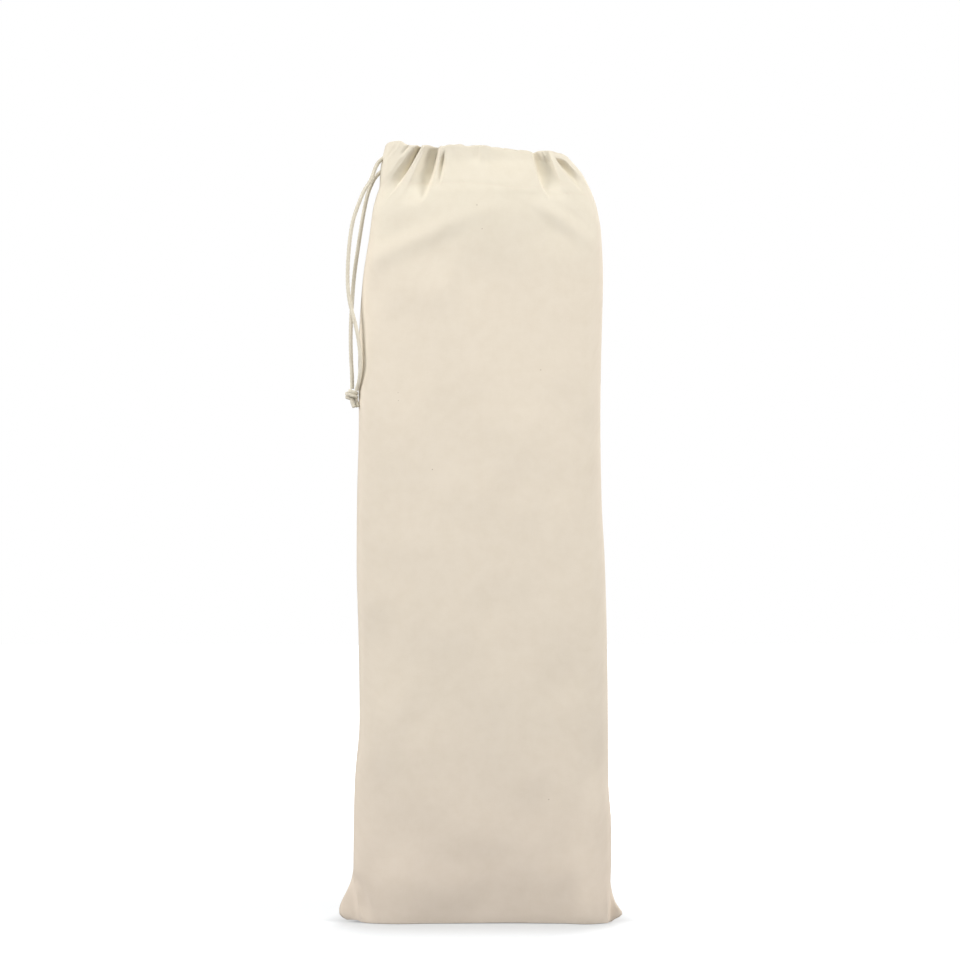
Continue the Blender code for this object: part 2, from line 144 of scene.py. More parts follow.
FRONT_FOLDS = (
    Fold(-62.5, -72, 680, 1, 1, 1, 2.2, 4, 0.8, 1.5, 1.5, 0.3, 3),
    Fold(-52, -83.5, 645, 0.8, 1, 1, 10.5, 5.5, 4.6, 2.4, 1.4, 0.6, 6.5),
    Fold(-37.3, -54, 641, 0.65, 0.9, 1, 13.2, 11, 0.9, 0.85, 2.8, 0.3, 4),
    Fold(-31.2, -37.5, 655, 0.8, 0.1, 1, 5.4, 5, 0.8, 1.6, 2.2, 0.3, 7),
    Fold(-2, -3, 673, 1, 1, 1, 1.6, 6, 0.8, 1.5, 3, 0, 4),
    Fold(44.4, 59.8, 645.5, 0.6, 0.55, -1, 11.5, 13.5, 0.4, 0.65, 1.1, 0.4, 9),
    Fold(56.8, 89.2, 650.5, 1, -2.5, -1, 9.5, 5.5, 1.2, 1.1, 1.4, 0.6, 4.5),
)
BACK_FOLDS = (
    Fold(-66, -82, 640, 0.8, 1, 1, 11, 9, 2, 2.2, 1.8, 1, 6),
    Fold(-44, -53, 652, 1, 0.8, 1, 8.5, 9, 0.8, 1.5, 2.2, 0.8, 6),
    Fold(-22, -26, 646, 1, 0.5, 1, 7.5, 8, 0.8, 2, 2, 0.8, 6),
    Fold(3, 5, 656, 1, 0.9, -1, 6, 9, 0.8, 1.6, 2.4, 0.6, 6),
    Fold(27, 35, 643, 0.9, 0.6, -1, 8, 9, 0.8, 1.8, 2, 0.8, 6),
    Fold(49, 64, 650, 0.8, 1, -1, 10.5, 9, 1.6, 2.2, 1.8, 1, 6),
)
FOLDS = {-1: FRONT_FOLDS, 1: BACK_FOLDS}
FOLD_SPREAD = 0.8  # how much wider steep walls and ridges are at the foot
FOLD_FADE = (-0.12, 0.52)  # the shares of its run, from its foot up, over which a fold comes in
FOLD_BELOW = -0.3  # a fold's line is followed this far below its foot, as a share of its height
RIM_FADE = (676.0, 686.0)  # heights over which a fold takes its share at the rim
INNER_EASE = 1.6  # the inner skin's steep walls are this many cloth thicknesses wider
RELIEF_FROM = 0.55  # the relief is whole where the section has this share of its depth
HEM_FROM = 0.35  # the same for the hem

FRONT_SWELLS = (
    # x, height, half width, half height, lean, amount
    (-92, 232, 16, 42, 0, -2.2),
    (-86, 163, 22, 38, 0, 1.8),
    (-106.5, 22, 4.5, 15, -0.3, -6),
    (-111, 37, 2.6, 8, -0.4, -5),
    (112.4, 17, 1.3, 12, 0, 1.4),
    (116, 17, 2.2, 12, 0, -0.8),
    (98, 466, 9, 45, 0, 0.9),
    (103, 146, 11, 30, 0, -1.6),
    (76, 620, 12, 17, -1.2, 2.2),
    (-61, 605, 21, 23, 2, 2.7),
    (-70, 673, 4, 11, 0.5, -1.2),
    (20, 330, 60, 120, 0, 1),
    (-30, 480, 40, 70, 0.2, 0.9),
    (35, 560, 38, 40, -0.3, -0.9),
)
BACK_SWELLS = (
    (88, 250, 18, 48, 0, -2.2),
    (70, 160, 26, 40, 0, 1.8),
    (-84, 410, 16, 60, 0.1, -1.6),
    (-60, 608, 22, 14, 0.5, -1.8),
    (58, 606, 22, 14, -0.5, -1.8),
    (0, 400, 55, 130, 0, 1.2),
)
SWELLS = {-1: FRONT_SWELLS, 1: BACK_SWELLS}
SWELL_FADE = 1.6  # a swell ends this many half widths and half heights from its middle
EAR_BEND_FROM = 108.0  # distance from the bag's middle
EAR_BEND = (-5.0, -8.0)  # how far along Y the left and the right ear's tips bend
EAR_BEND_FADE = (40.0, 120.0)  # heights over which the bend ends
EAR_ROOTS = (
    # x from, x to, how far forward an ear's root lies, how far it is lifted, up to what height
    (104, 110, 8, 0, 55),
    (-98, -111, 9, 2, 60),
)
EAR_ROOT_DEPTH = 24.0  # how far to the front and the back a root's shift reaches
EAR_SOFT = (5.0, 1.0)  # how softly the left and the right ear run into the bag
EAR_SOFT_FADE = (34.0, 60.0)  # heights over which that ends
EAR_SOFT_LEAST = 0.02  # below this share, the side edges are plain seams

BASE_SWAY = (
    # x, half width, how far the front's bottom edge lies forward there, how far it is lifted
    (-76, 42, 2.5, 0),
    (97, 26, 5.5, 0),
    (20, 62, -2.5, 0.4),
)
BASE_SWAY_TOP = 80.0
BASE_SWAY_DEPTH = (2.0, 20.0)  # distances in front of the middle plane over which it comes in

UNEVEN_SEED = 11
UNEVEN_WAVES = 16
UNEVEN_LENGTHS = (26.0, 120.0)  # wavelengths
UNEVEN_SHARE = 0.0022  # a wave's amplitude as a share of its length

PUCKER_SEED = 7
PUCKERS = 30  # small gathers in the hem of each side
PUCKER_SPAN = (-84.0, 70.0)
PUCKER_STRAY = 2.2  # how far one may lie from its even place
PUCKER_DEPTH = (0.15, 0.8)
PUCKER_HALF = (1.8, 3.6)  # half widths
PUCKER_REACH = (14.0, 42.0)  # how far down they run
PUCKER_FULL = 0.3  # the share of its reach over which one keeps its depth
PUCKER_SPREAD = 0.012  # how much they spread apart per millimetre below the rim
PUCKER_FROM = 630.0  # they show above this height
CALM = (-34.0, 44.0)  # the front's middle is drawn nearly smooth: its gathers lie at the sides
CALM_EDGE = 6.0  # half the width of its edges
CALM_SHARE = 0.75  # how much shallower the puckers are there

# ---- Sizes of the cord ----

CORD = 3.5  # the cord's thickness
UPPER_ROUTE = (
    # x, y, height
    (-90.7, -5.6, 678.2), (-93.8, -8, 673), (-98.5, -9.5, 660.7), (-104.5, -10.5, 650.7),
    (-110, -11, 637.2), (-114.2, -11.5, 623.7), (-117, -11.5, 606), (-118.6, -12, 584.2),
    (-118.6, -12.5, 567), (-116.6, -14, 551), (-112.2, -16.5, 534), (-109, -18, 519),
    (-107.4, -18.5, 505), (-107.2, -18, 493), (-108.4, -16, 482.5), (-110.9, -12.5, 473.7),
)
LOWER_ROUTE = (
    (-92, 1.1, 667.6), (-95.6, 0.5, 663), (-98.6, 0, 656.8), (-101.4, -1, 649),
    (-104.6, -2, 634.4), (-107.4, -3, 617.4), (-110, -4, 600), (-112.2, -5.5, 584.3),
    (-113.8, -7, 569.5), (-114.8, -8.5, 554.8), (-115.8, -9, 538), (-116.2, -9.5, 520),
    (-115.8, -10, 503), (-115, -10.5, 488), (-114.8, -10.5, 475),
)
LEAD_IN = 6.0  # how far each strand is carried on into the hem
LEAD_TURN = (0.4, 0, 0)  # how much it turns towards the bag's middle there
EXIT_DENT = (3.2, 4.2)  # depth and radius of the dent round each exit
EXIT_DENT_SHIFT = (1, 0, 0)  # from the exit to the dent's middle

KNOT_TOP = (-115.3, -10.5, 473.0)
KNOT_REACH = (4.2, 3.9)  # the winding's half width and half depth
KNOT_TURNS = 2.1
KNOT_PITCH = 3.2
KNOT_LEAN = 0.16  # how much a turn drops for each millimetre to the right
KNOT_START = 200.0  # degrees
KNOT_END_FADE = (-0.03, 0.1)  # the shares of it over which its ends come out of the middle
KNOT_STEPS = 150
TAIL_ROUTES = (
    ((-115.6, -10.5, 473), (-115.4, -11, 467.5), (-114.6, -11.8, 463), (-112.9, -12.4, 458.3)),
    ((-113.4, -10.2, 473), (-112, -9.8, 467), (-110.8, -10, 462.5), (-110, -10.4, 458.7)),
)

# ---- The fine surface ----

EAR_COLUMNS = 8  # columns of the mesh over each corner ear
EAR_MIN_LENGTH = 6.0  # they cover at least this much of the section
FILL_COLUMNS = 200  # columns between the ears
TRACK_COLUMNS = 5  # columns on each fold's steep wall
TRACKED_DEPTH = 3.0  # shallower folds have no columns of their own
TRACK_LEVEL = 676.0  # the height at which columns are shared out among the folds
TRACK_FADE = (575.0, 652.0)  # heights over which the columns come to follow the folds
UNDER_ROWS = (0.0, 0.03, 0.25, 0.6)  # rows under the bag, as shares of the way from the seam to the edge
ROLL_ANGLES = range(0, 91, 15)  # rows round the bottom edge
EAR_ROWS = (0.2, 0.4, 0.6, 0.8)  # rows between the bottom edge and the first band
OUTER_BANDS = ((12, 60, 18), (60, 540, 44), (540, 630, 22), (630, 691, 46))  # from, to, rows between them
INNER_BANDS = ((12, 60, 6), (60, 540, 20), (540, 630, 10), (630, 691, 26))
CROWN_ANGLES = (36, 72, 108, 144)  # rows over the rim
CROWN_MOST = 0.9  # how far the rim's rounded crown rises at most
SECTION_POINTS = 1401
TOP_LEVEL = 700  # sections are worked out for each millimetre up to here
FULL_HEIGHT = 692.0  # the rim's height that the rows are laid out for


def smooth_between(table, at):
    """Values of a table's other columns at the positions `at` of its first column, along a smooth curve."""
    table = np.asarray(table, float)
    at = np.clip(np.asarray(at, float), table[0, 0], table[-1, 0])
    places, values = table[:, 0], table[:, 1:]
    gaps = np.diff(places)[:, None]
    slopes = np.diff(values, axis=0) / gaps
    bends = np.zeros_like(values)
    same_way = slopes[1:] * slopes[:-1] > 0
    mean = 2 * slopes[1:] * slopes[:-1] / np.where(same_way, slopes[1:] + slopes[:-1], 1)
    bends[1:-1] = np.where(same_way, mean, 0)
    bends[0], bends[-1] = slopes[0], slopes[-1]
    span = np.clip(np.searchsorted(places, at, side="right") - 1, 0, len(places) - 2)
    step = (places[span + 1] - places[span])[..., None]
    part = (at - places[span])[..., None] / step
    rest = 1 - part
    return (
        values[span] * (1 + 2 * part) * rest**2
        + values[span + 1] * (3 - 2 * part) * part**2
        + bends[span] * step * part * rest**2
        - bends[span + 1] * step * rest * part**2
    )


def fade(value, start, end):
    """0 before start, 1 past end, and a smooth rise between them."""
    part = np.clip((value - start) / (end - start), 0, 1)
    return part * part * (3 - 2 * part)


def hump(distance):
    """1 at 0, falling smoothly to 0 at a distance of 1."""
    return np.cos(np.clip(np.abs(distance), 0, 1) * math.pi / 2) ** 2


def arc_lengths(points):
    """How far along a line of points each of them lies."""
    return np.concatenate(((0,), np.cumsum(np.linalg.norm(np.diff(points, axis=0), axis=1))))


def along_line(at, lengths, points):
    """The points at distances `at` along a line of points whose own distances are `lengths`."""
    return np.stack([np.interp(at, lengths, column) for column in points.T], axis=-1)


def plain_rim(x):
    """The rim's height without its scallops."""
    return smooth_between(RIM, x)[..., 0]


def rim_height(x):
    height = plain_rim(x)
    for middle, half, rise in RIM_SCALLOPS:
        height = height + rise * hump((x - middle) / half)
    for length, amplitude, phase in RIM_WAVES:
        height = height + amplitude * np.sin(2 * math.pi * x / length + phase)
    return height


def fold_line(fold, height):
    """Where a fold's crease lies at a height, how far up its run that is, and how wide the fold is there."""
    run = (height - fold.foot_height) / (FULL_HEIGHT - fold.foot_height)
    along = max(run, FOLD_BELOW)
    along = along**fold.bow if along > 0 else along
    spread = 1 + FOLD_SPREAD * (1 - min(max(run, 0.0), 1.0))
    return fold.foot_x + (fold.top_x - fold.foot_x) * along, run, spread


def fold_shape(x, height, fold, ease):
    """How far a fold moves the cloth outwards at each x, its steep wall made wider by the ease."""
    middle, run, spread = fold_line(fold, height)
    strength = fade(run, *FOLD_FADE) * max(0.0, 1 - (1 - fold.at_rim) * fade(height, *RIM_FADE))
    if strength == 0:
        return 0.0
    soft = fold.soft * (1 + fold.widen * (1 - min(max(run, 0.0), 1.0)))
    steep = fold.steep * spread + ease
    away = (x - middle) * fold.steep_side
    slope = -fold.depth * (1 - np.clip(-away / soft, 0, 1)) ** fold.pinch
    wall = -fold.depth + (fold.depth + fold.ridge) * np.sin(np.clip(away / steep, 0, 1) * math.pi / 2)
    crest = fold.ridge * (1 - fade(away - steep, 0, fold.ridge_wide * spread))
    return strength * np.where(away < 0, slope, np.where(away < steep, wall, crest))


def pucker_table(side):
    """Small gathers of the hem: place, half width, depth, and how far down each one runs."""
    draw = np.random.default_rng(PUCKER_SEED + side)
    places = np.linspace(*PUCKER_SPAN, PUCKERS) + draw.uniform(-PUCKER_STRAY, PUCKER_STRAY, PUCKERS)
    halves = draw.uniform(*PUCKER_HALF, PUCKERS)
    depths = draw.uniform(*PUCKER_DEPTH, PUCKERS)
    reaches = draw.uniform(*PUCKER_REACH, PUCKERS)
    if side < 0:
        start, end = (fade(places, edge - CALM_EDGE, edge + CALM_EDGE) for edge in CALM)
        calm = start * (1 - end)
        depths = depths * (1 - CALM_SHARE * calm)
    return np.column_stack((places, halves, depths, reaches))


def uneven_table(side):
    """Long soft waves that keep the filled cloth from being perfectly even: direction, length, phase."""
    draw = np.random.default_rng(UNEVEN_SEED + side)
    turns = draw.uniform(0, math.pi, UNEVEN_WAVES)
    lengths = np.exp(draw.uniform(*np.log(UNEVEN_LENGTHS), UNEVEN_WAVES))
    phases = draw.uniform(0, 2 * math.pi, UNEVEN_WAVES)
    return np.column_stack((np.cos(turns), np.sin(turns), lengths, phases))


PUCKER_TABLES = {side: pucker_table(side) for side in (-1, 1)}
UNEVEN_TABLES = {side: uneven_table(side) for side in (-1, 1)}


def relief(x, height, side, ease=0.0):
    """How far the cloth stands out of its plain section: folds, swells, puckers and unevenness."""
    out = np.zeros_like(x)
    for fold in FOLDS[side]:
        out += fold_shape(x, height, fold, ease)
    for swell_x, swell_height, half_width, half_height, lean, amount in SWELLS[side]:
        up = (height - swell_height) / (SWELL_FADE * half_height)
        if abs(up) < 1:
            middle = swell_x + lean * (height - swell_height)
            out += amount * hump((x - middle) / (SWELL_FADE * half_width)) * hump(up)
    for across, up, length, phase in UNEVEN_TABLES[side]:
        out += UNEVEN_SHARE * length * np.sin(2 * math.pi * (across * x + up * height) / length + phase)
    if height > PUCKER_FROM:
        below = FULL_HEIGHT - height
        for place, half, depth, reach in PUCKER_TABLES[side]:
            middle = place * (1 + PUCKER_SPREAD * max(0.0, below))
            out -= depth * hump((x - middle) / half) * (1 - fade(below, PUCKER_FULL * reach, reach))
    return out


def soften(points, reach):
    """The same line of points, rounded off over a distance, with its two ends kept."""
    lengths = arc_lengths(points)
    step = lengths[-1] / (SECTION_POINTS - 1)
    even = np.linspace(0, lengths[-1], SECTION_POINTS)
    points = along_line(even, lengths, points)
    size = max(1, int(3 * reach / step))
    weights = np.exp(-0.5 * (np.arange(-size, size + 1) * step / reach) ** 2)
    weights /= weights.sum()
    before = 2 * points[0] - points[size:0:-1]
    after = 2 * points[-1] - points[-2 : -size - 2 : -1]
    padded = np.vstack((before, points, after))
    return np.column_stack([np.convolve(padded[:, i], weights, mode="valid") for i in (0, 1)])


def section(height, side, inset):
    """Half of the level section at a height, from the left edge to the right one, as points (x, depth)."""
    left, right, fill_left, fill_right, front, back, squareness = smooth_between(OUTLINE, [height])[0]
    depth = front if side < 0 else back
    turn = np.linspace(-math.pi / 2, math.pi / 2, SECTION_POINTS)
    power = 2 / squareness
    across = np.sign(turn) * np.abs(np.sin(turn)) ** power
    bulge = np.abs(np.cos(turn)) ** power
    x = (fill_left + fill_right) / 2 + (fill_right - fill_left) / 2 * across
    out = relief(x, height, side, INNER_EASE * inset) * fade(bulge, 0, RELIEF_FROM)
    below_foot = plain_rim(x) - HEM_DEPTH - height
    if inset:
        layer = fade(-below_foot, -HEM_LAYER_STEP / 2, HEM_LAYER_STEP / 2)
        out -= HEM_LAYER * layer * fade(bulge, 0, HEM_FROM)
    else:
        hem = fade(-below_foot, -HEM_STEP / 2, HEM_STEP / 2)
        groove = STITCH_GROOVE * hump(below_foot / STITCH_GROOVE_HALF)
        out += (HEM_EXTRA * hem - groove) * fade(bulge, 0, HEM_FROM)
    points = np.column_stack((x, SEAM_HALF + (depth - SEAM_HALF) * bulge + out))
    if inset:
        along = np.gradient(points, axis=0)
        along /= np.linalg.norm(along, axis=1)[:, None]
        points += inset * np.column_stack((along[:, 1], -along[:, 0]))
        low, high = fill_left + inset, fill_right - inset
        points = points[(points[:, 0] > low) & (points[:, 0] < high) & (points[:, 1] > 0)]
        return np.vstack(((low, 0.0), points, (high, 0.0)))
    left_edge = ((left, 0.0), (min(left + EAR_CORNER, fill_left), SEAM_HALF))
    right_edge = ((max(right - EAR_CORNER, fill_right), SEAM_HALF), (right, 0.0))
    points = np.vstack((left_edge, points[1:-1], right_edge))
    soft = 1 - fade(height, *EAR_SOFT_FADE)
    if soft > EAR_SOFT_LEAST:
        rounded = [soften(points, reach * soft) for reach in EAR_SOFT]
        points = np.where(rounded[0][:, :1] < 0, rounded[0], rounded[1])
    else:
        seam_depth, seam_half = SEAM_GROOVE
        pull = seam_depth * (1 - soft) * hump(points[:, 1] / seam_half)
        points[:, 0] -= np.sign(points[:, 0]) * pull
    return points


def fold_knots(height, side):
    """The places across the bag, at a height, of each deep fold's crease and ridge, from left to right."""
    places = []
    for fold in FOLDS[side]:
        if fold.depth >= TRACKED_DEPTH:
            middle, run, spread = fold_line(fold, height)
            places.append(sorted((middle, middle + fold.steep_side * fold.steep * spread)))
    return np.array(places).ravel()


def knot_shares(side):
    """Which share of the columns lies to the left of each crease and ridge."""
    points = section(TRACK_LEVEL, side, 0.0)
    lengths = arc_lengths(points)
    places = np.interp(fold_knots(TRACK_LEVEL, side), points[:, 0], lengths)
    gaps = np.diff(np.concatenate(((0,), places, (lengths[-1],))))
    on_walls = TRACK_COLUMNS / FILL_COLUMNS
    walls = gaps[1::2]
    spare = (1 - on_walls * len(walls)) / (gaps.sum() - walls.sum())
    parts = gaps * spare
    parts[1::2] = on_walls
    return np.cumsum(parts)[:-1]


KNOT_SHARES = {side: knot_shares(side) for side in (-1, 1)}


def columns_of(height, side, inset):
    """The section's points at the mesh's columns, with each one's share of the way from left to right."""
    points = section(height, side, inset)
    lengths = arc_lengths(points)
    left, right, fill_left, fill_right = smooth_between(OUTLINE, [height])[0][:4]
    ears = np.maximum(EAR_MIN_LENGTH, (0, 0) if inset else (fill_left - left, right - fill_right))
    start, end = ears[0], lengths[-1] - ears[1]
    shares = KNOT_SHARES[side]
    even = start + (end - start) * shares
    tracked = np.interp(fold_knots(height, side), points[:, 0], lengths)
    places = even + (np.clip(tracked, start + 1, end - 1) - even) * fade(height, *TRACK_FADE)
    knots = np.vstack(((0, start), np.column_stack((shares, places)), (1, end)))
    middle = smooth_between(knots, np.linspace(0, 1, FILL_COLUMNS + 1))[:, 0]
    ear_share = np.linspace(0, 1, EAR_COLUMNS + 1)
    at = np.concatenate((ear_share[:-1] * start, middle[:-1], end + (lengths[-1] - end) * ear_share))
    if inset:
        at = at[::2]
    return np.column_stack((along_line(at, lengths, points), at / lengths[-1]))


def skin_rows(side, inset):
    """Rows of points of one side, from the bottom seam to the rim, as an array (row, column, x y z share)."""
    columns = np.array([columns_of(height, side, inset) for height in range(TOP_LEVEL + 1)])

    def row_at(height, pulled_in=0.0):
        low = np.clip(height.astype(int), 0, TOP_LEVEL - 1)
        part = (height - low)[:, None]
        column = np.arange(len(height))
        x, depth, share = (columns[low, column] * (1 - part) + columns[low + 1, column] * part).T
        return np.column_stack((x, side * (depth - pulled_in), height, share))

    floor = np.full(columns.shape[1], float(inset))
    depth = np.abs(row_at(floor)[:, 1])
    roll = np.minimum(INNER_ROLL if inset else EDGE_ROLL, ROLL_MOST * depth)
    rows = [row_at(floor, (1 - share) * (depth - roll) + roll) for share in UNDER_ROWS]
    for angle in ROLL_ANGLES:
        turned = math.radians(angle)
        rows.append(row_at(floor + roll * (1 - math.cos(turned)), roll * (1 - math.sin(turned))))
    bands = INNER_BANDS if inset else OUTER_BANDS
    rolled_up = floor + roll
    for share in EAR_ROWS:
        rows.append(row_at(rolled_up + (bands[0][0] - rolled_up) * share))
    levels = [bands[0][0]]
    for low, high, count in bands:
        levels += list(np.linspace(low, high, count + 1)[1:])
    top_x = row_at(np.full_like(floor, levels[-1]))[:, 0]
    drop = RIM_FOLLOWS * relief(top_x, levels[-1], side)
    for level in levels:
        lean = max(0.0, level - GATHER_FOOT) / (FULL_HEIGHT - GATHER_FOOT)
        rise = rim_height(row_at(np.full_like(floor, level))[:, 0]) - FULL_HEIGHT
        rows.append(row_at(level + rise * lean + drop * lean**3))
    rows = np.array(rows)
    for place in (UPPER_ROUTE[0], LOWER_ROUTE[0]):
        dent, reach = EXIT_DENT
        away = np.linalg.norm(rows[..., :3] - np.array(place) - EXIT_DENT_SHIFT, axis=2)
        rows[..., 0] += dent * hump(away / reach)
    return rows


def bend_base(rows):
    """Bends the corner ears out of the bag's middle plane, and lets the front's bottom edge sway."""
    x = rows[..., 0]
    longest = max(abs(value) for row in OUTLINE for value in row[1:3])
    past = np.maximum(0, np.abs(x) - EAR_BEND_FROM) / (longest - EAR_BEND_FROM)
    rows[..., 1] += np.where(x < 0, *EAR_BEND) * past**2 * (1 - fade(rows[..., 2], *EAR_BEND_FADE))
    low = (1 - fade(rows[..., 2], 0, BASE_SWAY_TOP)) * fade(-rows[..., 1], *BASE_SWAY_DEPTH)
    for middle, half, forward, lift in BASE_SWAY:
        share = low * hump((x - middle) / half)
        rows[..., 1] -= forward * share
        rows[..., 2] += lift * share
    for start, end, forward, lift, top in EAR_ROOTS:
        share = fade(x, start, end) * hump(rows[..., 1] / EAR_ROOT_DEPTH) * (1 - fade(rows[..., 2], 0, top))
        rows[..., 1] -= forward * share
        rows[..., 2] += lift * share


def add_object(name, data):
    """A new object of the scene."""
    new = bpy.data.objects.new(name, data)
    bpy.context.scene.collection.objects.link(new)
    return new


class Skin:
    """The cloth's points, their places on the flat cloth, and its faces, as they are added."""

    def __init__(self):
        self.places, self.flats, self.faces = [], [], []
        self.count = 0

    def add_points(self, places, flat):
        """Adds an array of points, and gives their numbers in the same arrangement."""
        first = self.count
        self.places.append(places.reshape(-1, 3))
        self.flats.append(flat.reshape(-1, 3))
        self.count += len(self.places[-1])
        return np.arange(first, self.count).reshape(places.shape[:-1])

    def add_faces(self, *corners):
        self.faces.extend(np.stack(corners, axis=-1).reshape(-1, len(corners)).tolist())

    def add_grid(self, grid, outward):
        corners = (grid[:-1, :-1], grid[:-1, 1:], grid[1:, 1:], grid[1:, :-1])
        self.add_faces(*(corners if outward else corners[::-1]))


def side_points(side, inset):
    """One side's points, closed at the bottom seam and the side edges, and their places on the flat cloth."""
    rows = skin_rows(side, inset)
    rows[0, :, 1] = 0
    rows[:, (0, -1), 1] = 0
    bend_base(rows)
    steps = np.linalg.norm(np.diff(rows[..., :3], axis=0), axis=2)
    up = np.vstack((np.zeros(rows.shape[1]), np.cumsum(steps, axis=0)))
    around = HALF_GIRTH * (rows[..., 3] if side < 0 else 2 - rows[..., 3])
    return rows[..., :3], np.stack((around, up, np.full_like(up, inset)), axis=-1)


def add_skin(skin, inset):
    """Adds the outer or the inner skin, and gives its points at the rim."""
    front = skin.add_points(*side_points(-1, inset))
    back = front.copy()
    places, flat = side_points(1, inset)
    back[1:, 1:-1] = skin.add_points(places[1:, 1:-1], flat[1:, 1:-1])
    skin.add_grid(front, outward=not inset)
    skin.add_grid(back, outward=bool(inset))
    return np.concatenate((front[-1], back[-1][-2:0:-1]))


def add_crown(skin, outer, inner):
    """Joins the two skins over the rim, in a rounded crown. The inner one has half as many columns."""
    places, flat = np.vstack(skin.places), np.vstack(skin.flats)
    inside = places[inner]
    inside = np.stack((inside, (inside + np.roll(inside, -1, axis=0)) / 2), axis=1).reshape(-1, 3)
    middle, half = (places[outer] + inside) / 2, (places[outer] - inside) / 2
    tall = np.minimum(np.linalg.norm(half, axis=1), CROWN_MOST)[:, None] * (0, 0, 1)
    rings = [outer]
    for angle in np.radians(CROWN_ANGLES):
        rings.append(skin.add_points(middle + half * math.cos(angle) + tall * math.sin(angle), flat[outer]))
    for low, high in zip(rings, rings[1:]):
        skin.add_faces(low, np.roll(low, -1), np.roll(high, -1), high)
    crown = rings[-1]
    skin.add_faces(crown[::2], crown[1::2], inner)
    skin.add_faces(crown[1::2], np.roll(crown, -1)[1::2], np.roll(inner, -1), inner)


def make_cloth():
    """The bag: outer and inner skins joined over the rim, with each point's place on the flat cloth."""
    skin = Skin()
    outer = add_skin(skin, 0.0)
    add_crown(skin, outer, add_skin(skin, WALL))
    mesh = bpy.data.meshes.new("bag_cloth_sewn")
    mesh.from_pydata((np.vstack(skin.places) * MM).tolist(), [], skin.faces)
    layer = mesh.attributes.new("flat_cloth", "FLOAT_VECTOR", "POINT")
    layer.data.foreach_set("vector", np.vstack(skin.flats).astype(np.float32).ravel())
    mesh.shade_smooth()
    return add_object("bag_cloth_sewn", mesh)


# ---- Tubes, and the stitches made of them ----

CORD_LAYER, STITCH_LAYER = 3.0, 4.0  # third coordinates, so that their threads differ from the cloth's
THREAD = 0.42  # the sewing thread's diameter
STITCH = 2.3  # a stitch's visible length
STITCH_PITCH = 3.1
STITCH_SIDES = 6
STITCH_RINGS = ((0, 0.25), (0.12, 0.8), (0.35, 1), (0.65, 1), (0.88, 0.8), (1, 0.25))  # along, width
STITCH_SUNK = (0.1, 0.3)  # how deep its ends lie in the cloth, in millimetres and in half thicknesses
STITCH_FIRST = 2.0  # where along the hem they start
HEM_LINE = (-96, 102, 400)  # from, to, points
HEM_LINE_CLEAR = 1.5  # the line ends this far from the side edges
HEM_LINE_REACH = 4  # the outward direction is taken over this many points to each side


def new_shape():
    """An empty mesh in the making, and its layer for places on the flat cloth."""
    shape = bmesh.new()
    return shape, shape.verts.layers.float_vector.new("flat_cloth")


def close_tube(shape, rings):
    """Faces between the rings of a tube, and over its two ends."""
    for low, high in zip(rings, rings[1:]):
        for i in range(len(low)):
            k = (i + 1) % len(low)
            shape.faces.new((low[i], low[k], high[k], high[i]))
    shape.faces.new(rings[0][::-1])
    shape.faces.new(rings[-1])


def finish_mesh(name, shape):
    """The finished mesh as an object."""
    mesh = bpy.data.meshes.new(name)
    shape.to_mesh(mesh)
    shape.free()
    mesh.shade_smooth()
    return add_object(name, mesh)


def add_stitch(shape, layer, start, end, out):
    """One stitch: a short rounded thread, highest in its middle."""
    start, end, out = Vector(start), Vector(end), Vector(out).normalized()
    along = (end - start).normalized()
    other = along.cross(out).normalized()
    sunk, sunk_share = STITCH_SUNK
    rings = []
    for share, width in STITCH_RINGS:
        middle = start.lerp(end, share) + out * (THREAD / 2 * (math.sin(math.pi * share) - sunk_share) - sunk)
        ring = []
        for i in range(STITCH_SIDES):
            angle = 2 * math.pi * i / STITCH_SIDES
            reach = THREAD / 2 * width
            vert = shape.verts.new((middle + reach * (math.cos(angle) * other + math.sin(angle) * out)) * MM)
            vert[layer] = Vector((share * STITCH, angle * reach, STITCH_LAYER))
            ring.append(vert)
        rings.append(ring)
    close_tube(shape, rings)


def hem_line(side):
    """Points of the outer cloth along the line of stitches, with the outward direction at each."""
    places = []
    for x in np.linspace(*HEM_LINE):
        level = float(plain_rim(x)) - HEM_DEPTH
        points = section(level, side, 0.0)
        if points[0, 0] + HEM_LINE_CLEAR < x < points[-1, 0] - HEM_LINE_CLEAR:
            i = int(np.searchsorted(points[:, 0], x))
            depth = np.interp(x, points[:, 0], points[:, 1])
            ahead = points[min(i + HEM_LINE_REACH, len(points) - 1)] - points[max(i - HEM_LINE_REACH, 0)]
            out = Vector((-ahead[1], ahead[0] * side, 0.0)).normalized()
            places.append((Vector((x, side * depth, level)), out))
    return places


def make_stitches():
    """The line of stitches along the hem's foot, on both sides of the bag."""
    shape, layer = new_shape()
    for side in (-1, 1):
        places, outs = (np.array(vectors) for vectors in zip(*hem_line(side)))
        lengths = arc_lengths(places)
        for start in np.arange(STITCH_FIRST, lengths[-1] - STITCH_PITCH, STITCH_PITCH):
            ends = along_line((start, start + STITCH), lengths, places)
            add_stitch(shape, layer, *ends, along_line(start + STITCH / 2, lengths, outs))
    return finish_mesh("hem_stitches", shape)


# ---- Cord and knot ----

BRAID_SIDES = 28  # points in a ring
BRAID_STEP = 0.45  # distance between rings of points
BRAID_STRANDS = 4  # pairs of lumps round the cord
BRAID_PITCH = 7.0
BRAID_RELIEF = 0.14
CURVE_STEPS = 900


